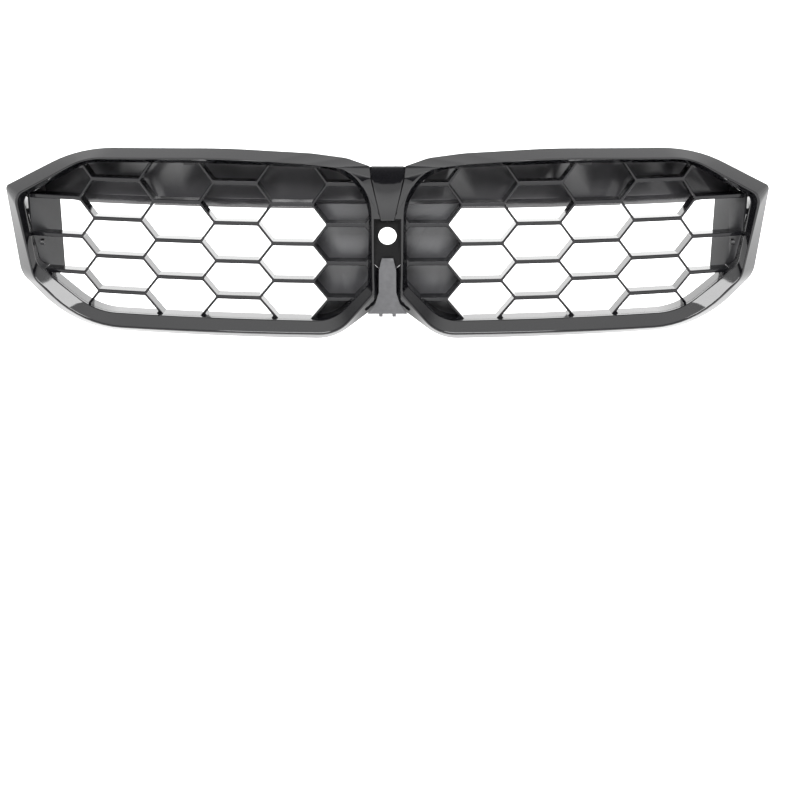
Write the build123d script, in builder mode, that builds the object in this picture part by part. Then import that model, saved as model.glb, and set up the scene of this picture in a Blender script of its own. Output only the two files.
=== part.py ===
from build123d import *
from math import atan2, ceil, cos, degrees, hypot, pi, sin, sqrt, tan
import os

# Twin front grille of a saloon car: two gloss-black surrounds joined by a centre bridge
# that holds a forward camera, each with a honeycomb insert and blanking panels behind it.
# X runs across the car, Y from the front to the back, Z up, all in millimetres. The origin
# is the centre of the camera hole on the front face of the pocket floor.

os.makedirs("parts", exist_ok=True)

# Overall sizes
HALF_WIDTH = 399.5
TOP = 87.7
BOTTOM = -110.6

# Nose surface: an upright cylinder of large radius, its top leaning forward
NOSE_RADIUS = 1075.0
LEAN = 0.14
POCKET_DEPTH = 8.0
SPAN_X = 520.0
SPAN_Y = 200.0
SPAN_Z = 150.0

# Surround section: how far each of its edges lies behind the nose surface
LIP_SETBACK = 11.0
RETURN_SETBACK = 16.0
OUTER_SETBACK = 14.0
SKIRT_SETBACK = 28.0
SKIRT_INSET = 3.6
SURROUND_WALL = 2.4

# Fits
SEAM = 0.3
SNAP_GAP = 0.3

# Honeycomb insert
SLANT_RIB = 2.6
FLAT_RIB = 4.4
RIB_FRONT = 20.0
RIB_BACK = 40.0
COLLAR_WALL = 2.2
HOOD_BACK = 62.0
HOOD_LOW = 34.0
FIN_VERTEX_INSET = 81.5
FLAT_OUTER = 50.0
FLAT_STEP = 3.15
SLANT_RUN = 15.4
ROW_TOP = 51.4
ROW_PITCH = 21.5
ROW_TIGHTEN = 0.22
COLUMN_LIMIT = 20.0

# Panels
PANEL = 2.2
DUCT_REACH = 31.0
DUCT_DEPTH = 42.0
DUCT_LOW = -80.0
DUCT_HIGH = 42.0

# Centre
CAMERA_HOLE_RADIUS = 9.0
POCKET_HALF_WIDTH = 13.6
POCKET_HIGH = 18.5
POCKET_LOW = -28.5
POCKET_FLOOR = 4.0
POCKET_WALL = 1.6
POCKET_RIM = 4.5

# Fasteners
SCREW_RADIUS = 1.5
SCREW_HEAD_RADIUS = 2.8
SCREW_HEAD_HEIGHT = 2.0
BOSS_RADIUS = 3.2
RAIL_HOLE_RADIUS = 3.3
RAIL_THICKNESS = 3.0
RAIL_DEPTH = 14.0

# Outlines of one surround, from the upper inner corner round the top, the outer end and
# the bottom: x, z, corner radius and setback behind the nose surface
OUTER = [
    (7.0, 19.5, 20, 4.0),
    (16.3, TOP - 28.2, 3, 6.0),
    (16.6, TOP - 17.0, 3, 13.0),
    (40.0, TOP - 8.7, 40, OUTER_SETBACK),
    (75.0, TOP - 4.1, 150, OUTER_SETBACK),
    (160.0, TOP, 800, OUTER_SETBACK),
    (HALF_WIDTH - 88.5, TOP - 2.8, 160, OUTER_SETBACK),
    (HALF_WIDTH, 40.2, 6, OUTER_SETBACK),
    (HALF_WIDTH - 10.2, BOTTOM + 55.4, 25, OUTER_SETBACK),
    (HALF_WIDTH - 69.0, BOTTOM, 125, OUTER_SETBACK),
    (55.0, BOTTOM, 50, OUTER_SETBACK),
    (6.2, BOTTOM + 39.5, 20, OUTER_SETBACK - 2.0),
]
RIDGE = [
    (15.9, 38.0, 55, 2.5),
    (35.0, TOP - 18.9, 35, 1.0),
    (56.0, TOP - 16.3, 60, 0.0),
    (80.0, TOP - 13.7, 150, 0.0),
    (115.0, TOP - 11.7, 300, 0.0),
    (170.0, TOP - 9.7, 800, 0.0),
    (HALF_WIDTH - 94.5, TOP - 12.8, 80, 0.0),
    (HALF_WIDTH - 13.0, 31.0, 16, 0.0),
    (HALF_WIDTH - 28.5, BOTTOM + 54.0, 22, 0.0),
    (HALF_WIDTH - 81.0, BOTTOM + 6.6, 110, 0.0),
    (50.0, BOTTOM + 8.0, 40, 0.0),
    (14.2, BOTTOM + 51.5, 8, 0.0),
]
LIP = [
    (18.4, 30.0, 50, LIP_SETBACK),
    (39.4, TOP - 20.1, 46, LIP_SETBACK),
    (70.0, TOP - 18.8, 100, LIP_SETBACK),
    (92.0, TOP - 18.0, 200, LIP_SETBACK),
    (122.0, TOP - 16.8, 400, LIP_SETBACK),
    (180.0, TOP - 15.4, 900, LIP_SETBACK),
    (HALF_WIDTH - 96.5, TOP - 17.7, 55, LIP_SETBACK),
    (HALF_WIDTH - 20.8, 29.7, 12, LIP_SETBACK),
    (HALF_WIDTH - 30.2, BOTTOM + 67.6, 14, LIP_SETBACK),
    (HALF_WIDTH - 92.5, BOTTOM + 20.0, 70, LIP_SETBACK),
    (55.3, BOTTOM + 20.0, 40, LIP_SETBACK),
    (20.0, BOTTOM + 58.5, 8, LIP_SETBACK),
]


# ---------------------------------------------------------------- helpers


def nose(x, z, setback=0.0):
    """Y of the nose surface at x and z, moved back by setback."""
    sweep = NOSE_RADIUS - sqrt(NOSE_RADIUS**2 - x**2)
    return sweep - POCKET_DEPTH - LEAN * z + setback


def rounded(corners):
    """Points along a closed outline with rounded corners, as (x, z, setback)."""
    arcs = []
    for i, (x, z, radius, setback) in enumerate(corners):
        before, after = corners[i - 1], corners[(i + 1) % len(corners)]
        heading_in = atan2(z - before[1], x - before[0])
        heading_out = atan2(after[1] - z, after[0] - x)
        turn = (heading_out - heading_in + pi) % (2 * pi) - pi
        tangent = radius * tan(abs(turn) / 2)
        x0, z0 = x - tangent * cos(heading_in), z - tangent * sin(heading_in)
        arc = []
        for step in range(5):
            part = turn * step / 4
            chord = 2 * radius * sin(abs(part) / 2)
            heading = heading_in + part / 2
            arc.append((x0 + chord * cos(heading), z0 + chord * sin(heading), setback))
        arcs.append(arc)
    points = []
    for i, arc in enumerate(arcs):
        start, end = arc[-1], arcs[(i + 1) % len(arcs)][0]
        points += arc
        for share in (0.04, 0.2, 0.5, 0.8, 0.96):
            points.append(tuple(a + (b - a) * share for a, b in zip(start, end)))
    return points


def wall_curves():
    """The ten corner curves of the surround's wall, once round its section."""
    curves = [[] for _ in range(10)]
    for outer, ridge, lip in zip(rounded(OUTER), rounded(RIDGE), rounded(LIP)):
        width = hypot(outer[0] - lip[0], outer[1] - lip[1])
        across = ((outer[0] - lip[0]) / width, (outer[1] - lip[1]) / width)
        crest = (ridge[0] - lip[0]) * across[0] + (ridge[1] - lip[1]) * across[1]
        skin = [
            (width - SKIRT_INSET, SKIRT_SETBACK),
            (width, outer[2]),
            (crest, ridge[2]),
            (0.0, lip[2]),
            (0.0, RETURN_SETBACK),
        ]
        places = [
            (outer[0] - SKIRT_INSET * across[0], outer[1] - SKIRT_INSET * across[1]),
            outer[:2],
            ridge[:2],
            lip[:2],
            lip[:2],
        ]
        normals = []
        for (u0, w0), (u1, w1) in zip(skin, skin[1:]):
            run = hypot(u1 - u0, w1 - w0)
            normals.append(((w1 - w0) / run, (u0 - u1) / run))
        for k, ((u, setback), (x, z)) in enumerate(zip(skin, places)):
            first, last = normals[max(k - 1, 0)], normals[min(k, 3)]
            mitre = 1 + first[0] * last[0] + first[1] * last[1]
            inward = SURROUND_WALL * (first[0] + last[0]) / mitre
            back = SURROUND_WALL * (first[1] + last[1]) / mitre
            curves[k].append((x, nose(x, z, setback), z))
            x2, z2 = x + inward * across[0], z + inward * across[1]
            curves[9 - k].append((x2, nose(x2, z2, setback + back), z2))
    return curves


def opening(grow=0.0):
    """Sketch of the opening inside one lip, grown outward by grow."""
    with BuildSketch(Plane.XZ) as face:
        with BuildLine():
            FilletPolyline([c[:2] for c in LIP], radius=[c[2] for c in LIP], close=True)
        make_face()
        if grow:
            offset(amount=grow)
    return face.sketch


def slab(front, back, low=-SPAN_Z, high=SPAN_Z, lean=LEAN):
    """Layer that follows the nose from front to back, rising from low with a lean."""
    ends = [(-SPAN_X, nose(SPAN_X, low)), (0, nose(0, low)), (SPAN_X, nose(SPAN_X, low))]
    near = [(x, y + front) for x, y in ends]
    far = [(x, y + back) for x, y in ends]
    with BuildPart() as body:
        with BuildSketch(Plane.XY.offset(low)):
            with BuildLine():
                ThreePointArc(*near)
                ThreePointArc(*far)
                Line(near[0], far[0])
                Line(near[2], far[2])
            make_face()
        extrude(amount=(high - low) * hypot(1, lean), dir=(0, -lean, 1))
    return body.part


def prism(corners):
    """Block of any depth along Y with a straight-sided outline in X and Z."""
    with BuildPart() as body:
        with BuildSketch(Plane.XZ):
            with BuildLine():
                Polyline(*corners, close=True)
            make_face()
        extrude(amount=SPAN_Y, both=True)
    return body.part


def opening_block(grow=0.0):
    """Block of any depth along Y with the opening's outline."""
    outline = opening(grow)
    with BuildPart() as body:
        extrude(outline, amount=SPAN_Y, both=True)
    return body.part


def lip_x(z):
    """X of the opening's outer end at a height."""
    (x0, z0), (x1, z1) = LIP[7][:2], LIP[8][:2]
    return x0 + (x1 - x0) * (z0 - z) / (z0 - z1)


def row_height(row):
    """Z of a row of cell corners, counted down from the top row of flat ribs."""
    return ROW_TOP - ROW_PITCH * row + ROW_TIGHTEN * row**2


def columns():
    """Outer and inner end of each column of flat ribs, counted from the outer end."""
    ends = []
    start = HALF_WIDTH - FIN_VERTEX_INSET - SLANT_RUN
    flat = FLAT_OUTER
    while start > COLUMN_LIMIT + SLANT_RUN:
        stop = max(start - flat, COLUMN_LIMIT - SLANT_RUN)
        ends.append((start, stop))
        start = stop - SLANT_RUN
        flat = flat - FLAT_STEP
    return ends


def ribs():
    """Centre lines of the honeycomb: fins, flat ribs and slanting ribs."""
    lines = []
    vertex = HALF_WIDTH - FIN_VERTEX_INSET
    rows = ceil((ROW_TOP - BOTTOM) / ROW_PITCH)
    for row in range(1, rows, 2):
        lines.append(((HALF_WIDTH, row_height(row)), (vertex, row_height(row))))
    for index, (start, stop) in enumerate(columns()):
        for row in range(-1, rows):
            z0, z1 = row_height(row), row_height(row + 1)
            if (row + index) % 2 == 0:
                if row >= 0 and row_height(row) > BOTTOM + 26:
                    lines.append(((start, z0), (stop, z0)))
                lines.append(((start, z0), (start + SLANT_RUN, z1)))
            else:
                lines.append(((start + SLANT_RUN, z0), (start, z1)))
    return lines


def screw(x, y, z, axis, length):
    """Pan-head screw whose head seats at the point, its shank running along axis."""
    seat = Plane(origin=(x, y, z), z_dir=axis)
    with BuildPart() as body:
        with BuildSketch(seat):
            Circle(SCREW_RADIUS)
        extrude(amount=length)
        with BuildSketch(seat):
            Circle(SCREW_HEAD_RADIUS)
        extrude(amount=-SCREW_HEAD_HEIGHT)
        fillet(body.edges().sort_by(Axis(seat.origin, seat.z_dir))[0], SCREW_HEAD_HEIGHT / 4)
    return body.part


def save(body, name):
    """Label a finished piece and write it as one STEP file."""
    body.label = name
    export_step(body, f"parts/{name}.step")


def save_pair(body, name):
    """Write a right-hand piece and its mirror image on the left."""
    with BuildPart() as twin:
        mirror(body, about=Plane.YZ)
    save(body, f"{name}_right")
    save(twin.part, f"{name}_left")


# ---------------------------------------------------------------- surround frames

# Screws that hold each insert: x, z and the way from the screw to the collar's wall
INSERT_SCREWS = [
    (120.0, BOTTOM + 12.6, 0.0, 6.3),
    (HALF_WIDTH - 130.0, BOTTOM + 12.6, 0.0, 6.3),
    (HALF_WIDTH - 17.0, 0.0, -6.4, 0.0),
    (120.0, TOP - 11.0, 0.0, -4.7),
    (HALF_WIDTH - 130.0, TOP - 11.0, 0.0, -4.9),
]
EAR_FRONT = RIB_FRONT - 2.5
EAR_BACK = RIB_FRONT
SCREW_DEPTH = 6.0
BRIDGE_SCREW = (24.0, TOP - 24.7)
BRIDGE_PLATE_HALF = 28.0
BRIDGE_PLATE_HEIGHT = 10.0
PEG_RADIUS = 2.5
PEG_SHOULDER_RADIUS = 4.0
PEG_LENGTH = 20.0
PEGS = [(150.0, BOTTOM + 11.0), (HALF_WIDTH - 110.0, BOTTOM + 11.0)]


def pocket_notch(grow):
    """Block that clears the camera pocket, from its top edge to its sloping foot."""
    half = POCKET_HALF_WIDTH + grow
    foot = POCKET_LOW - grow
    right = [(half, POCKET_HIGH + grow), (half, foot), (half - 6.0, foot - 6.0)]
    return prism(right + [(-x, z) for x, z in reversed(right)])


def surround_frame():
    """Gloss surround: a folded wall that runs once round the opening."""
    edges = [Edge.make_spline(points, periodic=True) for points in wall_curves()]
    faces = [Face.make_surface_from_curves(a, b) for a, b in zip(edges, edges[1:] + edges[:1])]
    wall = Solid(Shell(faces))
    notch = pocket_notch(0.0)
    with BuildPart() as frame:
        add(wall)
        add(notch, mode=Mode.SUBTRACT)
        for x, z in [place[:2] for place in INSERT_SCREWS] + [BRIDGE_SCREW]:
            end = Plane.XZ.offset(-nose(x, z, EAR_FRONT))
            with BuildSketch(end):
                with Locations((x, z)):
                    Circle(BOSS_RADIUS)
            extrude(until=Until.NEXT)
            with BuildSketch(end):
                with Locations((x, z)):
                    Circle(SCREW_RADIUS)
            extrude(amount=SCREW_DEPTH, mode=Mode.SUBTRACT)
        for x, z in PEGS:
            end = Plane.XZ.offset(-nose(x, z, EAR_FRONT))
            with BuildSketch(end):
                with Locations((x, z)):
                    Circle(PEG_SHOULDER_RADIUS)
            extrude(until=Until.NEXT)
            with BuildSketch(end):
                with Locations((x, z)):
                    Circle(PEG_RADIUS)
            extrude(amount=-PEG_LENGTH)
        x, z = BRIDGE_SCREW
        with BuildSketch(Plane.XZ.offset(-nose(x, z, EAR_FRONT))):
            with Locations((0.0, z)):
                Rectangle(2 * (BRIDGE_PLATE_HALF + SEAM), BRIDGE_PLATE_HEIGHT + 2 * SEAM)
        extrude(amount=-SPAN_Y, mode=Mode.SUBTRACT)
    return frame.part


# ---------------------------------------------------------------- honeycomb inserts

RAIL_LOW = TOP - 12.9
RAIL_SETBACK = 36.0
RAIL_EARS = [112.0, 200.0, HALF_WIDTH - 111.5]
RAIL_EAR_WIDTH = 12.0
RAIL_EAR_LOW = TOP - 20.0
PAD_OFFSET = 4.2
INNER_PADS = [
    (LIP[0][0] - PAD_OFFSET, 5.0),
    (LIP[-1][0] - SEAM - PAD_OFFSET, -38.0),
    (66.0, LIP[10][1] - PAD_OFFSET),
]
DUCT_SCREWS = [-22.0, 12.0]
DUCT_NOTCH = (25.0, 41.5)
DUCT_SCREW_SETBACK = 30.0
DUCT_FOOT = 7.0
HOLE_PLAY = 0.2


def duct_room(play):
    """Space taken by the outer duct panel and all that lies outboard of it."""
    slope = DUCT_DEPTH / DUCT_REACH
    start_x = HALF_WIDTH - 25.5 - play
    front = nose(start_x, -SPAN_Z, RIB_FRONT - 1.5)
    reach = DUCT_REACH + 10.0
    with BuildPart() as body:
        with BuildSketch(Plane.XY.offset(-SPAN_Z)):
            with BuildLine():
                Polyline(
                    (start_x + 20.0, front - 20.0 * slope),
                    (start_x - reach, front + reach * slope),
                    (start_x + 60.0, front + reach * slope),
                    (start_x + 60.0, front - 20.0 * slope),
                    close=True,
                )
            make_face()
        extrude(amount=2 * SPAN_Z * hypot(1, LEAN), dir=(0, -LEAN, 1))
    return body.part


def lattice():
    """Ribs of the honeycomb, run into the middle of the collar's wall."""
    layer = slab(RIB_FRONT, RIB_BACK)
    clip = opening_block(COLLAR_WALL / 2)
    room = duct_room(SEAM)
    with BuildPart() as body:
        with BuildSketch(Plane.XZ):
            for (x0, z0), (x1, z1) in ribs():
                with Locations(((x0 + x1) / 2, (z0 + z1) / 2)):
                    turn = degrees(atan2(z1 - z0, x1 - x0))
                    thick = FLAT_RIB if z0 == z1 else SLANT_RIB
                    SlotCenterToCenter(hypot(x1 - x0, z1 - z0), thick, rotation=turn)
        extrude(amount=SPAN_Y, both=True)
        add(layer, mode=Mode.INTERSECT)
        add(clip, mode=Mode.INTERSECT)
        add(room, mode=Mode.SUBTRACT)
    return body.part


def collar_lugs():
    """Ears, pads and rail feet that stand on the outside of the collar."""
    inside = opening_block(COLLAR_WALL / 2)
    with BuildPart() as lugs:
        for x, z, run_x, run_z in INSERT_SCREWS:
            with BuildSketch(Plane.XZ.offset(-nose(x, z, EAR_BACK))):
                with Locations((x + run_x / 2, z + run_z / 2)):
                    turn = degrees(atan2(run_z, run_x))
                    SlotCenterToCenter(hypot(run_x, run_z), 2 * BOSS_RADIUS, rotation=turn)
            extrude(amount=EAR_BACK - EAR_FRONT)
        for x, z in INNER_PADS:
            with BuildSketch(Plane.XZ.offset(-nose(x, z, RIB_BACK - 2 * SEAM))):
                with Locations((x, z)):
                    Circle(BOSS_RADIUS)
            extrude(amount=SCREW_DEPTH + 2.0)
        for x in RAIL_EARS:
            middle = nose(x, RAIL_LOW, RAIL_SETBACK)
            with BuildSketch(Plane.XY.offset(RAIL_LOW)):
                with Locations((x, middle)):
                    Rectangle(RAIL_EAR_WIDTH, RAIL_EAR_WIDTH * 0.8)
            extrude(amount=RAIL_EAR_LOW - RAIL_LOW)
        add(inside, mode=Mode.SUBTRACT)
    return lugs.part


def honeycomb_insert():
    """Honeycomb moulding: collar with a deeper hood along its top, ribs and lugs."""
    layer = slab(RETURN_SETBACK + SEAM, RIB_BACK)
    hood = slab(RETURN_SETBACK + SEAM, HOOD_BACK, low=HOOD_LOW)
    outline, inside = opening(COLLAR_WALL), opening_block()
    cells, lugs = lattice(), collar_lugs()
    with BuildPart() as depth:
        add(layer)
        add(hood)
    with BuildPart() as insert:
        extrude(outline, amount=SPAN_Y, both=True)
        add(inside, mode=Mode.SUBTRACT)
        add(depth.part, mode=Mode.INTERSECT)
        add(cells)
        add(lugs)
        for x, z, _, _ in INSERT_SCREWS:
            with BuildSketch(Plane.XZ.offset(-nose(x, z, EAR_BACK))):
                with Locations((x, z)):
                    Circle(SCREW_RADIUS + HOLE_PLAY)
            extrude(amount=EAR_BACK - EAR_FRONT, mode=Mode.SUBTRACT)
        for x, z in INNER_PADS:
            with BuildSketch(Plane.XZ.offset(-nose(x, z, RIB_BACK))):
                with Locations((x, z)):
                    Circle(SCREW_RADIUS)
            extrude(amount=SCREW_DEPTH, mode=Mode.SUBTRACT)
        for x in RAIL_EARS:
            with BuildSketch(Plane.XY.offset(RAIL_LOW)):
                with Locations((x, nose(x, RAIL_LOW, RAIL_SETBACK))):
                    Circle(SCREW_RADIUS)
            extrude(amount=-SCREW_DEPTH / 2, mode=Mode.SUBTRACT)
        for z in DUCT_SCREWS:
            y = nose(lip_x(z), z, DUCT_SCREW_SETBACK)
            with BuildSketch(Plane.YZ.offset(lip_x(z) - 1.0)):
                with Locations((y, z)):
                    Circle(SCREW_RADIUS + HOLE_PLAY)
            extrude(amount=COLLAR_WALL + 3.0, mode=Mode.SUBTRACT)
    return insert.part


# ---------------------------------------------------------------- blanking panels

UPPER_BEND_Z = 32.0
UPPER_BEND_SETBACK = 42.5
UPPER_LEAN = -0.28
UPPER_LIP_LEAN = 0.9
UPPER_LOW = 21.0
UPPER_TAPER = [
    (HALF_WIDTH - 80.0, 0.0),
    (HALF_WIDTH - 80.0, UPPER_LOW),
    (HALF_WIDTH, 36.0),
    (HALF_WIDTH, 0.0),
]
FLANGE_DEPTH = 10.0


def upper_blank():
    """Sheet behind the top rows: leans back above its bend, returns below it."""
    clip = opening_block(-SEAM)
    inside = opening_block(-SEAM - PANEL)
    front = UPPER_BEND_SETBACK
    sheet = slab(front, front + PANEL, low=UPPER_BEND_Z, lean=UPPER_LEAN)
    drop = UPPER_BEND_Z - UPPER_LOW
    low_front = front + drop * (UPPER_LIP_LEAN - LEAN)
    under = slab(low_front, low_front + PANEL, low=UPPER_LOW, high=UPPER_BEND_Z, lean=UPPER_LIP_LEAN)
    room = slab(HOOD_BACK - FLANGE_DEPTH, HOOD_BACK, low=TOP - 30.0)
    taper = prism(UPPER_TAPER)
    with BuildPart() as flange:
        add(clip)
        add(inside, mode=Mode.SUBTRACT)
        add(room, mode=Mode.INTERSECT)
    with BuildPart() as panel:
        add(sheet)
        add(under)
        add(clip, mode=Mode.INTERSECT)
        add(taper, mode=Mode.SUBTRACT)
        add(flange.part)
    return panel.part


def inner_blank():
    """Flat sheet behind the innermost cells, its free edge cut along the ribs."""
    edges = columns()
    vertex, valley = edges[3][1], edges[3][1] - SLANT_RUN
    zigzag = [(vertex if row % 2 else valley, row_height(row)) for row in range(2, 8)]
    corners = [(11.0, 28.0), (vertex - 1.5, 28.0)] + zigzag
    corners += [(vertex, BOTTOM + 12.0), (48.0, BOTTOM + 12.0), (11.0, BOTTOM + 54.0)]
    outline = prism(corners)
    layer = slab(RIB_BACK + SEAM, RIB_BACK + SEAM + PANEL)
    with BuildPart() as panel:
        add(outline)
        add(layer, mode=Mode.INTERSECT)
        for x, z in INNER_PADS:
            with BuildSketch(Plane.XZ.offset(-nose(x, z, RIB_BACK - 1.0))):
                with Locations((x, z)):
                    Circle(SCREW_RADIUS + HOLE_PLAY)
            extrude(amount=-PANEL - 3.0, mode=Mode.SUBTRACT)
    return panel.part


def outer_duct():
    """Guide panel that closes the outer end and slants in behind the fins."""
    sheet, back = duct_room(0.0), duct_room(-PANEL)
    clip = opening_block(-SEAM)
    layer = slab(RIB_FRONT - 1.0, RIB_FRONT - 1.5 + DUCT_DEPTH)
    rows = prism([(0.0, DUCT_LOW), (0.0, DUCT_HIGH), (SPAN_X, DUCT_HIGH), (SPAN_X, DUCT_LOW)])
    notch_low, notch_front = DUCT_NOTCH
    notch = slab(notch_front, notch_front + DUCT_DEPTH, low=notch_low)
    with BuildPart() as duct:
        add(sheet)
        add(back, mode=Mode.SUBTRACT)
        for z in DUCT_SCREWS:
            y = nose(lip_x(z), z, DUCT_SCREW_SETBACK)
            foot = Plane.YZ.offset(lip_x(z) - SEAM - 0.5)
            with BuildSketch(foot):
                with Locations((y, z)):
                    Circle(BOSS_RADIUS)
            extrude(amount=-DUCT_FOOT)
            with BuildSketch(foot):
                with Locations((y, z)):
                    Circle(SCREW_RADIUS)
            extrude(amount=1.0 - SCREW_DEPTH, mode=Mode.SUBTRACT)
        add(clip, mode=Mode.INTERSECT)
        add(layer, mode=Mode.INTERSECT)
        add(rows, mode=Mode.INTERSECT)
        add(notch, mode=Mode.SUBTRACT)
    return duct.part


# ---------------------------------------------------------------- centre

CHIN = 14.5
FOREHEAD_WALL = 2.5
TONGUE_HIGH = -22.0
TONGUE_LOW = BOTTOM + 28.6
TONGUE_WALL = 2.5
TONGUE_SLOT_HALF = 8.9
STAKES = [(-3.5, -27.0), (3.5, -27.0)]
STAKE_RADIUS = 1.4
BRACKET_SCREWS = [(-9.5, 13.0), (9.5, 13.0), (-9.5, -13.0), (9.5, -13.0)]
BRACKET_HALF_WIDTH = 13.0
BRACKET_HALF_HEIGHT = 17.0
BRACKET_WALL = 2.5
SLEEVE_RADIUS = 11.2
SLEEVE_WALL = 1.4
SLEEVE_LENGTH = 12.0


def forehead():
    """Wedge between the two surrounds above the camera, ending in a rounded chin."""
    wedge = prism(
        [
            (-16.0, TOP - 17.0),
            (16.0, TOP - 17.0),
            (15.9, TOP - 28.2),
            (7.0 - SEAM, POCKET_HIGH + 1.0),
            (7.0 - SEAM, CHIN),
            (SEAM - 7.0, CHIN),
            (SEAM - 7.0, POCKET_HIGH + 1.0),
            (-15.9, TOP - 28.2),
        ]
    )
    crown = nose(0, TOP - 17.0, 12.5)
    front = [(crown, TOP - 17.0), (-8.8, 59.0), (-9.6, 40.0), (-9.2, 26.0), (-7.0, 18.0), (-1.0, CHIN)]
    back = [(y + FOREHEAD_WALL, z) for y, z in reversed(front[:-1])]
    with BuildPart() as body:
        with BuildSketch(Plane.YZ):
            with BuildLine():
                Spline(*front)
                Line(front[-1], (2.0, CHIN))
                Line((2.0, CHIN), (2.0, back[0][1] + 1.0))
                Line((2.0, back[0][1] + 1.0), back[0])
                Spline(*back)
                Line(back[-1], front[0])
            make_face()
        extrude(amount=20.0, both=True)
        add(wedge, mode=Mode.INTERSECT)
    return body.part


def centre_bridge():
    """Bridge: forehead, camera pocket with its hole, and the rear screw plate."""
    wedge = forehead()
    outer, inner = pocket_notch(-SEAM), pocket_notch(-SEAM - POCKET_WALL)
    layer = slab(POCKET_RIM, HOOD_BACK)
    x, z = BRIDGE_SCREW
    plate_front = nose(x, z, EAR_FRONT)
    with BuildPart() as hollow:
        add(inner)
        with BuildSketch(Plane.XZ):
            Rectangle(SPAN_X, SPAN_Z * 2)
        extrude(amount=-2 * SPAN_Y, mode=Mode.SUBTRACT)
    with BuildPart() as tray:
        add(outer)
        add(layer, mode=Mode.INTERSECT)
        with BuildSketch(Plane.XZ.offset(-POCKET_FLOOR)):
            Rectangle(SPAN_X, SPAN_Z * 2)
        extrude(amount=-2 * SPAN_Y, mode=Mode.SUBTRACT)
        add(hollow.part, mode=Mode.SUBTRACT)
        with BuildSketch(Plane.XZ):
            with Locations((0.0, POCKET_LOW - 8.0)):
                Rectangle(2 * TONGUE_SLOT_HALF, 14.0)
        extrude(amount=SPAN_Y, mode=Mode.SUBTRACT)
    with BuildPart() as bridge:
        add(tray.part)
        add(wedge)
        with BuildSketch(Plane.XZ.offset(-plate_front)):
            with Locations((0.0, z)):
                Rectangle(2 * BRIDGE_PLATE_HALF, BRIDGE_PLATE_HEIGHT)
        extrude(amount=-(EAR_BACK - EAR_FRONT))
        for side in (-1, 1):
            with BuildSketch(Plane.XZ.offset(-plate_front - 1.0)):
                with Locations((side * 6.0, z - 6.0)):
                    Rectangle(2.0, 20.0)
            extrude(amount=8.0)
        with Locations(Plane.XZ.offset(-POCKET_FLOOR)):
            Hole(CAMERA_HOLE_RADIUS)
        with BuildSketch(Plane.XZ.offset(-POCKET_FLOOR)):
            with Locations(*BRACKET_SCREWS):
                Circle(SCREW_RADIUS)
        extrude(amount=POCKET_FLOOR - 1.0, mode=Mode.SUBTRACT)
        with BuildSketch(Plane.XZ.offset(-POCKET_FLOOR)):
            with Locations(*STAKES):
                Circle(STAKE_RADIUS + HOLE_PLAY)
        extrude(amount=POCKET_FLOOR, mode=Mode.SUBTRACT)
        with BuildSketch(Plane.XZ.offset(-plate_front - 3.0)):
            with Locations((x, z), (-x, z)):
                Circle(SCREW_RADIUS + HOLE_PLAY)
        extrude(amount=4.0, mode=Mode.SUBTRACT)
    return bridge.part


def lower_tongue():
    """Matte tongue that rises into the pocket and spreads to the lower edge."""
    right = [(5.6, TONGUE_HIGH), (6.6, TONGUE_HIGH - 4.0), (8.6, POCKET_LOW - 6.0)]
    right += [(8.8, BOTTOM + 52.0), (12.0, BOTTOM + 40.0), (20.2, TONGUE_LOW)]
    outline = prism(right + [(-x, z) for x, z in reversed(right)])
    front = [(-2.8, TONGUE_HIGH), (-2.9, -29.0), (-2.6, -35.0)]
    front += [(3.4, -58.0), (8.0, -72.0), (11.0, TONGUE_LOW)]
    back = [(y + TONGUE_WALL, z) for y, z in reversed(front)]
    with BuildPart() as tongue:
        with BuildSketch(Plane.YZ):
            with BuildLine():
                Spline(*front)
                Line(front[-1], back[0])
                Spline(*back)
                Line(back[-1], front[0])
            make_face()
        extrude(amount=30.0, both=True)
        add(outline, mode=Mode.INTERSECT)
        for side in (-1, 1):
            with Locations((side * 6.7, front[-1][0] + TONGUE_WALL / 2, TONGUE_LOW - 1.0)):
                Box(4.0, TONGUE_WALL * 0.8, 4.0)
        with BuildSketch(Plane.XZ.offset(1.5)):
            with Locations(*STAKES):
                Circle(STAKE_RADIUS)
        extrude(amount=-1.5 - POCKET_FLOOR - 1.2)
    return tongue.part


def camera_bracket():
    """Plate behind the pocket with an open slotted sleeve for the camera."""
    with BuildPart() as bracket:
        with BuildSketch(Plane.XZ.offset(-POCKET_FLOOR)):
            RectangleRounded(2 * BRACKET_HALF_WIDTH, 2 * BRACKET_HALF_HEIGHT, 3.0)
            with Locations(*BRACKET_SCREWS):
                Circle(SCREW_RADIUS + HOLE_PLAY, mode=Mode.SUBTRACT)
        extrude(amount=-BRACKET_WALL)
        with BuildSketch(Plane.XZ.offset(-POCKET_FLOOR)):
            Circle(SLEEVE_RADIUS + SLEEVE_WALL)
        extrude(amount=-SLEEVE_LENGTH)
        with BuildSketch(Plane.XZ.offset(-POCKET_FLOOR)):
            Circle(SLEEVE_RADIUS)
        extrude(amount=-SLEEVE_LENGTH, mode=Mode.SUBTRACT)
        with BuildSketch(Plane.XZ.offset(-POCKET_FLOOR - BRACKET_WALL - 2.0)):
            Rectangle(40.0, 4.0)
        extrude(amount=-SLEEVE_LENGTH, mode=Mode.SUBTRACT)
    return bracket.part


# ---------------------------------------------------------------- rails and seals

RAIL_START = 102.0
RAIL_END = HALF_WIDTH - 101.5
RAIL_HOLES = [145.0, 250.0]
SEAL_SETBACK = 39.6
SEAL_WIDTH = 4.0
SEAL_HEIGHT = 2.0


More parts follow.
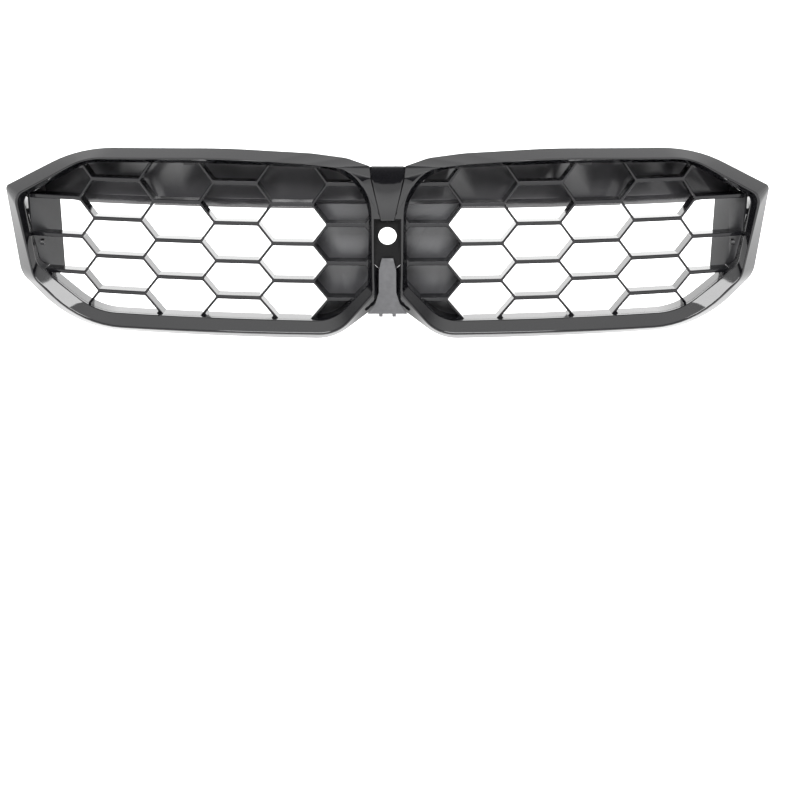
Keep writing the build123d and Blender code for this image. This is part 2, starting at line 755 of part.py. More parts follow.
def top_rail():
    """Flange along the top that takes the car's own screws."""
    front = RAIL_SETBACK - RAIL_DEPTH * 0.35
    layer = slab(front, front + RAIL_DEPTH, low=RAIL_LOW, high=RAIL_LOW + RAIL_THICKNESS, lean=0.0)
    with BuildPart() as rail:
        with BuildSketch(Plane.XY.offset(RAIL_LOW)):
            with Locations(((RAIL_START + RAIL_END) / 2, 0.0)):
                Rectangle(RAIL_END - RAIL_START, 2 * SPAN_Y)
        extrude(amount=RAIL_THICKNESS)
        add(layer, mode=Mode.INTERSECT)
        with BuildSketch(Plane.XY.offset(RAIL_LOW)):
            for x in RAIL_EARS:
                with Locations((x, nose(x, RAIL_LOW, RAIL_SETBACK))):
                    Circle(SCREW_RADIUS + HOLE_PLAY)
            for x in RAIL_HOLES:
                with Locations((x, nose(x, RAIL_LOW, RAIL_SETBACK))):
                    Circle(RAIL_HOLE_RADIUS)
        extrude(amount=RAIL_THICKNESS, mode=Mode.SUBTRACT)
    return rail.part


def foam_seal():
    """Foam strip on the rail, pressed by the bonnet's edge."""
    low = RAIL_LOW + RAIL_THICKNESS
    layer = slab(SEAL_SETBACK, SEAL_SETBACK + SEAL_WIDTH, low=low, high=low + SEAL_HEIGHT, lean=0.0)
    with BuildPart() as seal:
        with BuildSketch(Plane.XY.offset(low)):
            with Locations(((RAIL_START + RAIL_END) / 2, 0.0)):
                Rectangle(RAIL_END - RAIL_START - 8.0, 2 * SPAN_Y)
        extrude(amount=SEAL_HEIGHT)
        add(layer, mode=Mode.INTERSECT)
    return seal.part


# ---------------------------------------------------------------- snap tongues

SNAP_WALL = 1.8
SNAP_WIDTH = 14.0
SNAP_LENGTH = 21.5
SNAP_HOOK = 3.0
SNAPS_LOW = [95.0, 200.0, HALF_WIDTH - 90.0]
SNAP_SIDE_Z = -6.0
SNAP_SIDE_GAP = 1.3


def snap_tongue(root, width_way, back_way):
    """Sprung tongue with a hook, from its root on the surround's rear edge."""
    half = SNAP_WALL / 2
    with BuildPart() as snap:
        with BuildSketch(Plane(origin=root, x_dir=back_way, z_dir=width_way)):
            with BuildLine():
                Polyline(
                    (SNAP_GAP, -half),
                    (SNAP_GAP + half / 2, half),
                    (SNAP_LENGTH, half),
                    (SNAP_LENGTH, 0.0),
                    (SNAP_LENGTH - 6.5, -half - SNAP_HOOK),
                    (SNAP_LENGTH - 8.0, -half - SNAP_HOOK),
                    (SNAP_LENGTH - 8.5, -half),
                    close=True,
                )
            make_face()
        extrude(amount=SNAP_WIDTH / 2, both=True)
    return snap.part


def snap_places():
    """Root point, width direction and rearward direction of each snap tongue."""
    places = []
    for x in SNAPS_LOW:
        z = BOTTOM + SKIRT_INSET + SURROUND_WALL / 2
        slope = x / sqrt(NOSE_RADIUS**2 - x**2)
        width_way = Vector(1, slope, 0).normalized()
        root = (x, nose(x, z, SKIRT_SETBACK), z)
        places.append((root, width_way, Vector(-width_way.Y, width_way.X, 0)))
    share = (OUTER[7][1] - SNAP_SIDE_Z) / (OUTER[7][1] - OUTER[8][1])
    edge = OUTER[7][0] + share * (OUTER[8][0] - OUTER[7][0])
    x = edge - SKIRT_INSET - SURROUND_WALL / 2
    tilt = (OUTER[7][0] - OUTER[8][0]) / (OUTER[7][1] - OUTER[8][1])
    width_way = Vector(tilt, -LEAN, 1).normalized()
    back_way = Vector(0, 1, LEAN).normalized()
    y = nose(x, SNAP_SIDE_Z, SKIRT_SETBACK + SNAP_SIDE_GAP)
    places.append(((x, y, SNAP_SIDE_Z), width_way, back_way))
    return places


# ---------------------------------------------------------------- screw groups


def insert_screws():
    """Screws that hold one insert to its surround."""
    reach = EAR_BACK - EAR_FRONT + SCREW_DEPTH - 0.5
    return [screw(x, nose(x, z, EAR_BACK), z, (0, -1, 0), reach) for x, z, _, _ in INSERT_SCREWS]


def panel_screws():
    """Screws of one inner blank and one outer duct."""
    back = RIB_BACK + PANEL + 3 * SEAM
    group = [screw(x, nose(x, z, back), z, (0, -1, 0), 7.5) for x, z in INNER_PADS]
    for z in DUCT_SCREWS:
        y = nose(lip_x(z), z, DUCT_SCREW_SETBACK)
        group.append(screw(lip_x(z) + COLLAR_WALL + 0.6, y, z, (-1, 0, 0), 7.0))
    return group


def rail_screws():
    """Screws that hold one rail to its insert."""
    top = RAIL_LOW + RAIL_THICKNESS
    reach = RAIL_THICKNESS + SCREW_DEPTH / 2 - 0.3
    places = [(x, nose(x, RAIL_LOW, RAIL_SETBACK)) for x in RAIL_EARS]
    return [screw(x, y, top, (0, 0, -1), reach) for x, y in places]


def centre_screws():
    """Screws of the camera bracket and of the bridge's rear plate."""
    seat = POCKET_FLOOR + BRACKET_WALL
    group = [screw(x, seat, z, (0, -1, 0), seat - 1.3) for x, z in BRACKET_SCREWS]
    x, z = BRIDGE_SCREW
    reach = EAR_BACK - EAR_FRONT + SCREW_DEPTH - 0.5
    return group + [screw(side * x, nose(x, z, EAR_BACK), z, (0, -1, 0), reach) for side in (-1, 1)]


# ---------------------------------------------------------------- write the pieces

save_pair(surround_frame(), "surround_frame")
save_pair(honeycomb_insert(), "honeycomb_insert")
save_pair(upper_blank(), "upper_blank")
save_pair(inner_blank(), "inner_blank")
save_pair(outer_duct(), "outer_duct")
save_pair(top_rail(), "top_rail")
save_pair(foam_seal(), "foam_seal")
for number, place in enumerate(snap_places(), start=1):
    save_pair(snap_tongue(*place), f"snap_tongue_{number}")
save_pair(Compound(children=insert_screws()), "insert_screws")
save_pair(Compound(children=panel_screws()), "panel_screws")
save_pair(Compound(children=rail_screws()), "rail_screws")
save(Compound(children=centre_screws()), "centre_screws")
save(centre_bridge(), "centre_bridge")
save(lower_tongue(), "lower_tongue")
save(camera_bracket(), "camera_bracket")
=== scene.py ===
from math import atan2, ceil, cos, hypot, pi, radians, sin, sqrt, tan

import bmesh
import bpy
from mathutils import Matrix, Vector
from mathutils.geometry import delaunay_2d_cdt


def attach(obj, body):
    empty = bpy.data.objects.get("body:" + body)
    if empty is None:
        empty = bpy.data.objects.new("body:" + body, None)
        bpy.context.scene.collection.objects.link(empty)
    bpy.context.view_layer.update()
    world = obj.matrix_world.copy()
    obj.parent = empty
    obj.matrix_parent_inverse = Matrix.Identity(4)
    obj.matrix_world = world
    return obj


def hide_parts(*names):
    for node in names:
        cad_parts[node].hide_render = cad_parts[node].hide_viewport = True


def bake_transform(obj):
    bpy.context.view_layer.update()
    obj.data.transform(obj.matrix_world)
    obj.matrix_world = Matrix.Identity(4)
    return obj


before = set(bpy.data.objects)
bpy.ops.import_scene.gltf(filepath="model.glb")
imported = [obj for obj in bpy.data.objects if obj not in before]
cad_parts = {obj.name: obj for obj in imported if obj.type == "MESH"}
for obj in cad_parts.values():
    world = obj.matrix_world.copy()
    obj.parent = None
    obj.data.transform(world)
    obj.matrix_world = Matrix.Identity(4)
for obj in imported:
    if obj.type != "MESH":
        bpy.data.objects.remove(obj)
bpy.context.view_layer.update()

# Sizes are in millimetres, in the frame of the design: X across, Y to the back, Z up, with
# the centre of the camera hole at the origin. Meshes are scaled to metres as they are made.
MM = 0.001
SIDES = {"right": 1, "left": -1}

# Nose surface and the two surrounds
HALF_WIDTH = 399.5
TOP = 87.7
BOTTOM = -110.6
NOSE_RADIUS = 1075.0
LEAN = 0.14
POCKET_DEPTH = 8.0
LIP_SETBACK = 11.0
RETURN_SETBACK = 16.0
OUTER_SETBACK = 14.0
SKIRT_SETBACK = 28.0
SKIRT_INSET = 3.6
SURROUND_WALL = 2.4

# Honeycomb
SLANT_RIB = 2.6
FLAT_RIB = 4.4
RIB_FRONT = 20.0
RIB_BACK = 40.0
COLLAR_WALL = 2.2
HOOD_BACK = 62.0
HOOD_LOW = 34.0
FIN_VERTEX_INSET = 81.5
FLAT_OUTER = 50.0
FLAT_STEP = 3.15
SLANT_RUN = 15.4
ROW_TOP = 51.4
ROW_PITCH = 21.5
ROW_TIGHTEN = 0.22
COLUMN_LIMIT = 20.0

# Centre
POCKET_HALF_WIDTH = 13.6
POCKET_HIGH = 18.5
POCKET_LOW = -28.5

# Outlines of one surround: x, z, corner radius and setback behind the nose surface
OUTER = [
    (7.0, 19.5, 20, 4.0),
    (16.3, TOP - 28.2, 3, 6.0),
    (16.6, TOP - 17.0, 3, 13.0),
    (40.0, TOP - 8.7, 40, OUTER_SETBACK),
    (75.0, TOP - 4.1, 150, OUTER_SETBACK),
    (160.0, TOP, 800, OUTER_SETBACK),
    (HALF_WIDTH - 88.5, TOP - 2.8, 160, OUTER_SETBACK),
    (HALF_WIDTH, 40.2, 6, OUTER_SETBACK),
    (HALF_WIDTH - 10.2, BOTTOM + 55.4, 25, OUTER_SETBACK),
    (HALF_WIDTH - 69.0, BOTTOM, 125, OUTER_SETBACK),
    (55.0, BOTTOM, 50, OUTER_SETBACK),
    (6.2, BOTTOM + 39.5, 20, OUTER_SETBACK - 2.0),
]
RIDGE = [
    (15.9, 38.0, 55, 2.5),
    (35.0, TOP - 18.9, 35, 1.0),
    (56.0, TOP - 16.3, 60, 0.0),
    (80.0, TOP - 13.7, 150, 0.0),
    (115.0, TOP - 11.7, 300, 0.0),
    (170.0, TOP - 9.7, 800, 0.0),
    (HALF_WIDTH - 94.5, TOP - 12.8, 80, 0.0),
    (HALF_WIDTH - 13.0, 31.0, 16, 0.0),
    (HALF_WIDTH - 28.5, BOTTOM + 54.0, 22, 0.0),
    (HALF_WIDTH - 81.0, BOTTOM + 6.6, 110, 0.0),
    (50.0, BOTTOM + 8.0, 40, 0.0),
    (14.2, BOTTOM + 51.5, 8, 0.0),
]
LIP = [
    (18.4, 30.0, 50, LIP_SETBACK),
    (39.4, TOP - 20.1, 46, LIP_SETBACK),
    (70.0, TOP - 18.8, 100, LIP_SETBACK),
    (92.0, TOP - 18.0, 200, LIP_SETBACK),
    (122.0, TOP - 16.8, 400, LIP_SETBACK),
    (180.0, TOP - 15.4, 900, LIP_SETBACK),
    (HALF_WIDTH - 96.5, TOP - 17.7, 55, LIP_SETBACK),
    (HALF_WIDTH - 20.8, 29.7, 12, LIP_SETBACK),
    (HALF_WIDTH - 30.2, BOTTOM + 67.6, 14, LIP_SETBACK),
    (HALF_WIDTH - 92.5, BOTTOM + 20.0, 70, LIP_SETBACK),
    (55.3, BOTTOM + 20.0, 40, LIP_SETBACK),
    (20.0, BOTTOM + 58.5, 8, LIP_SETBACK),
]


# ---------------------------------------------------------------- finishes


class Value:
    """A number socket for sums in plain Python: each operator adds one Math node."""

    def __init__(self, finish, socket):
        self.finish = finish
        self.socket = socket

    def math(self, operation, first, second):
        return self.finish.node("ShaderNodeMath", {"operation": operation}, {0: first, 1: second})

    def __add__(self, other):
        return self.math("ADD", self, other)

    def __sub__(self, other):
        return self.math("SUBTRACT", self, other)

    def __rsub__(self, other):
        return self.math("SUBTRACT", other, self)

    def __mul__(self, other):
        return self.math("MULTIPLY", self, other)

    __radd__ = __add__
    __rmul__ = __mul__

    def above(self, level):
        return self.math("GREATER_THAN", self, level)


class Finish:
    """One material: its Principled shader and the nodes that feed it."""

    def __init__(self, name, sockets):
        self.material = bpy.data.materials.new(name)
        self.material.use_nodes = True
        self.tree = self.material.node_tree
        self.shader = self.tree.nodes["Principled BSDF"]
        for socket, value in sockets.items():
            self.shader.inputs[socket].default_value = value
        self.place = self.node("ShaderNodeTexCoord", output="Object")

    def node(self, kind, settings=None, sockets=None, output=0):
        """Add a node: its settings first, then the values or links of its sockets."""
        made = self.tree.nodes.new(kind)
        for setting, value in (settings or {}).items():
            setattr(made, setting, value)
        for socket, value in (sockets or {}).items():
            if isinstance(value, Value):
                self.tree.links.new(value.socket, made.inputs[socket])
            else:
                made.inputs[socket].default_value = value
        return Value(self, made.outputs[output])

    def noise(self, size, detail=2.0):
        """Even noise from 0 to 1 whose lumps are about size millimetres wide."""
        sockets = {"Vector": self.place, "Scale": 1 / (size * MM), "Detail": detail}
        return self.node("ShaderNodeTexNoise", {}, sockets)

    def feed(self, socket, value):
        self.tree.links.new(value.socket, self.shader.inputs[socket])

    def blend_colours(self, share, first, second):
        """Base colour that goes from first to second as share goes from 0 to 1."""
        sockets = {"Factor": share, 6: (*first, 1), 7: (*second, 1)}
        self.feed("Base Color", self.node("ShaderNodeMix", {"data_type": "RGBA"}, sockets, 2))

    def relief(self, height, depth, strength=1.0):
        """Bump whose height of 1 stands depth millimetres proud."""
        sockets = {"Height": height, "Distance": depth * MM, "Strength": strength}
        self.feed("Normal", self.node("ShaderNodeBump", {}, sockets))


def gloss_finish():
    """Gloss-black moulding: a slight ripple, with fine dust that dulls it in places."""
    finish = Finish("gloss_black_moulding", {"Roughness": 0.06, "IOR": 1.52, "Specular IOR Level": 0.3})
    ripple, haze, dust = finish.noise(9.0), finish.noise(26.0, 4.0), finish.noise(0.7, 3.0)
    specks = dust.above(0.71)
    finish.blend_colours(specks * 0.5, (0.003, 0.003, 0.0035), (0.03, 0.03, 0.03))
    finish.feed("Roughness", haze * 0.07 + specks * 0.2 + 0.02)
    finish.relief(ripple, 0.02)
    return finish.material


def rib_finish():
    """The same moulding on the ribs, a little duller from the tool."""
    finish = Finish("gloss_black_ribs", {"Roughness": 0.1, "IOR": 1.52, "Specular IOR Level": 0.22})
    haze, grain = finish.noise(12.0, 3.0), finish.noise(0.5, 2.0)
    finish.blend_colours(haze, (0.0025, 0.0025, 0.003), (0.006, 0.006, 0.007))
    finish.feed("Roughness", haze * 0.1 + grain * 0.04 + 0.05)
    finish.relief(grain, 0.004)
    return finish.material


def matte_finish():
    """Unpainted black nylon with a fine etched grain and paler rubbed patches."""
    finish = Finish("matte_black_nylon", {"Roughness": 0.5, "IOR": 1.5})
    grain, wear = finish.noise(0.35, 3.0), finish.noise(18.0, 3.0)
    finish.blend_colours(wear, (0.012, 0.012, 0.013), (0.028, 0.028, 0.03))
    finish.feed("Roughness", wear * 0.15 + 0.42)
    finish.relief(grain, 0.03)
    return finish.material


def trim_finish():
    """Dark grey trim of the tongue, with a mottled, lightly textured surface."""
    finish = Finish("matte_grey_trim", {"Roughness": 0.45, "IOR": 1.5})
    grain, mottle = finish.noise(0.5, 3.0), finish.noise(5.0, 4.0)
    finish.blend_colours(mottle, (0.02, 0.02, 0.022), (0.05, 0.05, 0.053))
    finish.feed("Roughness", mottle * 0.2 + 0.35)
    finish.relief(grain * 0.5 + mottle, 0.06)
    return finish.material


def foam_finish():
    """Open-cell foam."""
    finish = Finish("seal_foam", {"Roughness": 0.95})
    cells, tone = finish.noise(0.9, 4.0), finish.noise(7.0, 2.0)
    finish.blend_colours(tone, (0.012, 0.012, 0.013), (0.035, 0.035, 0.037))
    finish.relief(cells, 0.5)
    return finish.material


def steel_finish():
    """Zinc-plated screw steel with a worn, uneven sheen."""
    finish = Finish("plated_screw_steel", {"Metallic": 1.0, "Roughness": 0.3})
    wear, grain = finish.noise(1.2, 3.0), finish.noise(0.15, 2.0)
    finish.blend_colours(wear, (0.32, 0.32, 0.33), (0.6, 0.6, 0.6))
    finish.feed("Roughness", wear * 0.25 + 0.18)
    finish.relief(grain, 0.01)
    return finish.material


def pocket_finish():
    """Dead-black texture inside the camera pocket, so that it gives no glare."""
    finish = Finish("pocket_black", {"Roughness": 0.5, "IOR": 1.45, "Specular IOR Level": 0.1})
    grain, tone = finish.noise(0.4, 3.0), finish.noise(8.0, 3.0)
    finish.blend_colours(tone, (0.0015, 0.0015, 0.0016), (0.004, 0.004, 0.0042))
    finish.feed("Roughness", tone * 0.2 + 0.4)
    finish.relief(grain, 0.02)
    return finish.material


def satin_finish(name, dark, pale, roughness):
    """Smooth satin moulding that shows soft shadows, with faint flow marks."""
    finish = Finish(name, {"Roughness": roughness, "IOR": 1.5})
    flow, grain = finish.noise(34.0, 3.0), finish.noise(0.6, 2.0)
    finish.blend_colours(flow, dark, pale)
    finish.feed("Roughness", flow * 0.12 + (roughness - 0.06))
    finish.relief(grain, 0.001)
    return finish.material


GLOSS = gloss_finish()
RIBS = rib_finish()
MATTE = matte_finish()
TRIM = trim_finish()
FOAM = foam_finish()
STEEL = steel_finish()
POCKET = pocket_finish()
SATIN = satin_finish("satin_grey_blank", (0.03, 0.03, 0.032), (0.042, 0.042, 0.045), 0.38)
DUCT = satin_finish("satin_black_duct", (0.006, 0.006, 0.007), (0.012, 0.012, 0.013), 0.34)
SHEET = satin_finish("gloss_black_sheet", (0.02, 0.02, 0.021), (0.03, 0.029, 0.032), 0.2)


# ---------------------------------------------------------------- shape helpers

SHARP_ANGLE = 35.0


def nose(x, z, setback=0.0):
    """Y of the nose surface at x and z, moved back by setback."""
    sweep = NOSE_RADIUS - sqrt(NOSE_RADIUS**2 - x**2)
    return sweep - POCKET_DEPTH - LEAN * z + setback


def rounded(corners, arc_steps=8, straight_steps=6):
    """Points along a closed outline with rounded corners, as (x, z, setback)."""
    arcs = []
    for i, (x, z, radius, setback) in enumerate(corners):
        before, after = corners[i - 1], corners[(i + 1) % len(corners)]
        heading_in = atan2(z - before[1], x - before[0])
        heading_out = atan2(after[1] - z, after[0] - x)
        turn = (heading_out - heading_in + pi) % (2 * pi) - pi
        tangent = radius * tan(abs(turn) / 2)
        x0, z0 = x - tangent * cos(heading_in), z - tangent * sin(heading_in)
        arc = []
        for step in range(arc_steps + 1):
            part = turn * step / arc_steps
            chord = 2 * radius * sin(abs(part) / 2)
            heading = heading_in + part / 2
            arc.append((x0 + chord * cos(heading), z0 + chord * sin(heading), setback))
        arcs.append(arc)
    points = []
    for i, arc in enumerate(arcs):
        start, end = arc[-1], arcs[(i + 1) % len(arcs)][0]
        points += arc
        for step in range(1, straight_steps):
            share = step / straight_steps
            points.append(tuple(a + (b - a) * share for a, b in zip(start, end)))
    return points


def rounded_corner(before, corner, after, reach, steps=4):
    """Points that round one corner of a section, starting reach before it."""
    start = corner + (before - corner).normalized() * min(reach, (before - corner).length * 0.45)
    end = corner + (after - corner).normalized() * min(reach, (after - corner).length * 0.45)
    points = []
    for step in range(steps + 1):
        t = step / steps
        points.append(start * (1 - t) ** 2 + corner * (2 * t * (1 - t)) + end * t**2)
    return points


def add_piece(name, points, faces, finish, body="grille"):
    """Make one piece from points in millimetres and let it ride on a body."""
    mesh = bpy.data.meshes.new(name)
    mesh.from_pydata([Vector(point) * MM for point in points], [], faces)
    mesh.materials.append(finish)
    shape = bmesh.new()
    shape.from_mesh(mesh)
    bmesh.ops.remove_doubles(shape, verts=shape.verts, dist=0.002 * MM)
    bmesh.ops.recalc_face_normals(shape, faces=shape.faces)
    shape.to_mesh(mesh)
    shape.free()
    piece = bpy.data.objects.new(name, mesh)
    bpy.context.scene.collection.objects.link(piece)
    shade(piece)
    if body:
        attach(piece, body)
    return piece


def shade(piece, angle=SHARP_ANGLE):
    """Smooth shading that keeps flat faces flat and edges over the angle sharp."""
    piece.data.polygons.foreach_set("use_smooth", [True] * len(piece.data.polygons))
    piece.data.set_sharp_from_angle(angle=radians(angle))
    even = piece.modifiers.new("even normals", "WEIGHTED_NORMAL")
    even.keep_sharp = True


def ring_faces(rings, count, closed=True):
    """Quads between rings of count points each, closed round both ways."""
    faces = []
    for i in range(rings if closed else rings - 1):
        for k in range(count):
            a, b = i * count, (i + 1) % rings * count
            faces.append((a + k, a + (k + 1) % count, b + (k + 1) % count, b + k))
    return faces


def carve(piece, cutter):
    """Cut one mesh from another and remove the cutter."""
    cut = piece.modifiers.new("cut", "BOOLEAN")
    cut.object = cutter
    cut.solver = "EXACT"
    bpy.context.view_layer.objects.active = piece
    bpy.ops.object.modifier_move_to_index(modifier=cut.name, index=0)
    bpy.ops.object.modifier_apply(modifier=cut.name)
    bpy.data.objects.remove(cutter)
    piece.data.set_sharp_from_angle(angle=radians(SHARP_ANGLE))


def block(corners, front, back):
    """Straight-sided cutter with an outline in x and z, from front to back."""
    points = [(x, front, z) for x, z in corners] + [(x, back, z) for x, z in corners]
    count = len(corners)
    faces = ring_faces(2, count, closed=False)
    faces += [tuple(range(count)), tuple(range(2 * count - 1, count - 1, -1))]
    return add_piece("cutter", points, faces, GLOSS, body=None)


# ---------------------------------------------------------------- surrounds

# Reach of the rounding on each corner of the wall's section, from the rear outer edge
# over the ridge to the lip, then back along the inside
SECTION_REACH = [0.5, 1.2, 2.6, 1.1, 0.6, 0.3, 0.3, 0.3, 0.3, 0.3]
POCKET_CHAMFER = 6.0
CUT_REACH = 60.0


def wall_section(outer, ridge, lip):
    """The ten corners of the wall at one place round the opening."""
    width = hypot(outer[0] - lip[0], outer[1] - lip[1])
    across = ((outer[0] - lip[0]) / width, (outer[1] - lip[1]) / width)
    crest = (ridge[0] - lip[0]) * across[0] + (ridge[1] - lip[1]) * across[1]
    skin = [
        (width - SKIRT_INSET, SKIRT_SETBACK),
        (width, outer[2]),
        (crest, ridge[2]),
        (0.0, lip[2]),
        (0.0, RETURN_SETBACK),
    ]
    rear = (outer[0] - SKIRT_INSET * across[0], outer[1] - SKIRT_INSET * across[1])
    places = [rear, outer[:2], ridge[:2], lip[:2], lip[:2]]
    normals = []
    for (u0, w0), (u1, w1) in zip(skin, skin[1:]):
        run = hypot(u1 - u0, w1 - w0)
        normals.append(((w1 - w0) / run, (u0 - u1) / run))
    front, inside = [], []
    for k, ((_, setback), (x, z)) in enumerate(zip(skin, places)):
        first, last = normals[max(k - 1, 0)], normals[min(k, 3)]
        mitre = 1 + first[0] * last[0] + first[1] * last[1]
        inward = SURROUND_WALL * (first[0] + last[0]) / mitre
        back = SURROUND_WALL * (first[1] + last[1]) / mitre
        front.append(Vector((x, nose(x, z, setback), z)))
        x2, z2 = x + inward * across[0], z + inward * across[1]
        inside.append(Vector((x2, nose(x2, z2, setback + back), z2)))
    return front + inside[::-1]


def surround(side):
    """Folded wall of one surround, with a soft ridge, cut away round the camera pocket."""
    points, rings = [], 0
    for outer, ridge, lip in zip(rounded(OUTER), rounded(RIDGE), rounded(LIP)):
        section = wall_section(outer, ridge, lip)
        ring = []
        for k, corner in enumerate(section):
            after = section[(k + 1) % len(section)]
            ring += rounded_corner(section[k - 1], corner, after, SECTION_REACH[k])
        points += [(SIDES[side] * point.x, point.y, point.z) for point in ring]
        rings += 1
    faces = ring_faces(rings, len(points) // rings)
    wall = add_piece(f"surround_{side}", points, faces, GLOSS)
    half, foot = POCKET_HALF_WIDTH, POCKET_LOW
    right = [(half, POCKET_HIGH), (half, foot), (half - POCKET_CHAMFER, foot - POCKET_CHAMFER)]
    outline = right + [(-x, z) for x, z in reversed(right)]
    carve(wall, block(outline, -CUT_REACH, CUT_REACH))
    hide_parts(f"surround_frame_{side}")
    return wall


for side_name in SIDES:
    surround(side_name)


# ---------------------------------------------------------------- centre

# Forehead: half width and y down its middle at heights from the crown to the chin
FOREHEAD = [
    (TOP - 17.2, 16.2, -7.4),
    (TOP - 21.0, 16.2, -8.2),
    (TOP - 28.2, 16.1, -9.2),
    (50.0, 13.9, -9.9),
    (40.0, 11.7, -10.1),
    (30.0, 9.4, -10.0),
    (24.0, 8.1, -9.5),
    (20.0, 7.2, -8.6),
    (17.2, 6.9, -7.2),
    (15.2, 6.8, -4.6),
    (14.4, 6.7, -1.0),
]
FOREHEAD_WALL = 1.2
FOREHEAD_PARTS = 5
# Forehead's section from its edge: share of the half width, and drop to the back
CREST = [(-1.06, 3.0), (-1.03, 1.4), (-0.97, 0.35), (-0.85, 0.03), (-0.4, 0.0)]


def smoothed(rows, parts):
    """Rows of numbers with smooth in-between rows, by a Catmull-Rom curve."""
    out = []
    for i in range(len(rows) - 1):
        a, b, c, d = (rows[min(max(k, 0), len(rows) - 1)] for k in (i - 1, i, i + 1, i + 2))
        for step in range(parts):
            t = step / parts
            row = []
            for p, q, r, s in zip(a, b, c, d):
                bend = (2 * p - 5 * q + 4 * r - s) * t**2 + (3 * q - p - 3 * r + s) * t**3
                row.append(0.5 * (2 * q + (r - p) * t + bend))
            out.append(row)
    return out + [list(rows[-1])]


def forehead():
    """Smooth wedge over the camera, its long edges rolled back into the two seams."""
    across = CREST + [(0.0, 0.0)] + [(-share, drop) for share, drop in reversed(CREST)]
    rows = smoothed(FOREHEAD, FOREHEAD_PARTS)
    points = [(share * half, y + drop, z) for z, half, y in rows for share, drop in across]
    count = len(across)
    faces = []
    for i in range(len(rows) - 1):
        for k in range(count - 1):
            a = i * count + k
            faces.append((a, a + 1, a + count + 1, a + count))
    skin = add_piece("forehead", points, faces, GLOSS)
    thick = skin.modifiers.new("thickness", "SOLIDIFY")
    thick.thickness = FOREHEAD_WALL * MM
    thick.offset = -1


forehead()


# ---------------------------------------------------------------- honeycomb inserts

RIB_ROUND = 0.9
HOLE_ROUND = 0.9
RIB_BURY = 0.5
COLLAR_ROUND = 0.4
SEGMENT = 9.0
SHORT_SIDE = 0.6
SMALLEST_HOLE = 30
STRAIGHT_ANGLE = 165
MITRE_LIMIT = 0.3
LOWEST_FLAT = 26.0
SEAM = 0.3


def row_height(row):
    """Z of a row of cell corners, counted down from the top row of flat ribs."""
    return ROW_TOP - ROW_PITCH * row + ROW_TIGHTEN * row**2


def columns():
    """Outer and inner end of each column of flat ribs, counted from the outer end."""
    ends = []
    start = HALF_WIDTH - FIN_VERTEX_INSET - SLANT_RUN
    flat = FLAT_OUTER
    while start > COLUMN_LIMIT + SLANT_RUN:
        stop = max(start - flat, COLUMN_LIMIT - SLANT_RUN)
        ends.append((start, stop))
        start = stop - SLANT_RUN
        flat = flat - FLAT_STEP
    return ends


def cells():
    """Every honeycomb cell: its corners on the centre lines of its ribs, clockwise, and
    how far the edge of the hole lies inside each of its sides."""
    rows = ceil((ROW_TOP - BOTTOM) / ROW_PITCH)
    vertex, end = HALF_WIDTH - FIN_VERTEX_INSET, HALF_WIDTH + SLANT_RUN
    flat, slant = FLAT_RIB / 2, SLANT_RIB / 2
    found = []
    for row in range(-1, rows, 2):
        high, middle, low = (row_height(row + k) for k in range(3))
        corners = [(vertex, high), (end, high), (end, low), (vertex, low), (vertex - SLANT_RUN, middle)]
        found.append((corners, (flat, 0.0, flat, slant, slant)))
    for index, (start, stop) in enumerate(columns()):
        for row in range(-2 + index % 2, rows, 2):
            high, middle, low = (row_height(row + k) for k in range(3))
            corners = [(stop, high), (start, high), (start + SLANT_RUN, middle)]
            corners += [(start, low), (stop, low), (stop - SLANT_RUN, middle)]
            foot = flat if low > BOTTOM + LOWEST_FLAT else -ROW_PITCH
            found.append((corners, (flat, slant, slant, foot, slant, slant)))
    return found


def grown(outline, amount):
    """Closed outline moved outward by amount, corner by corner; clockwise in x and z."""
    points = []
    count = len(outline)
    for i, (x, z) in enumerate(outline):
        before, after = outline[i - 1], outline[(i + 1) % count]
        first = Vector((x - before[0], z - before[1])).normalized()
        last = Vector((after[0] - x, after[1] - z)).normalized()
        across = Vector((-first.y - last.y, first.x + last.x))
        across = across / max(1 + first.dot(last), MITRE_LIMIT)
        points.append((x + across.x * amount, z + across.y * amount))
    return points


def clipped(outline, corners, insets):
    """The part of an outline inside a clockwise cell whose sides move in by insets."""
    for i, (x0, z0) in enumerate(corners):
        x1, z1 = corners[(i + 1) % len(corners)]
        run = hypot(x1 - x0, z1 - z0)
        inward = ((z1 - z0) / run, (x0 - x1) / run)
        gaps = [(x - x0) * inward[0] + (z - z0) * inward[1] - insets[i] for x, z in outline]
        kept = []
        for k, (x, z) in enumerate(outline):
            (xb, zb), gap, before = outline[k - 1], gaps[k], gaps[k - 1]
            if (gap > 0) != (before > 0):
                share = before / (before - gap)
                kept.append((xb + (x - xb) * share, zb + (z - zb) * share))
            if gap > 0:
                kept.append((x, z))
        outline = kept
    return outline


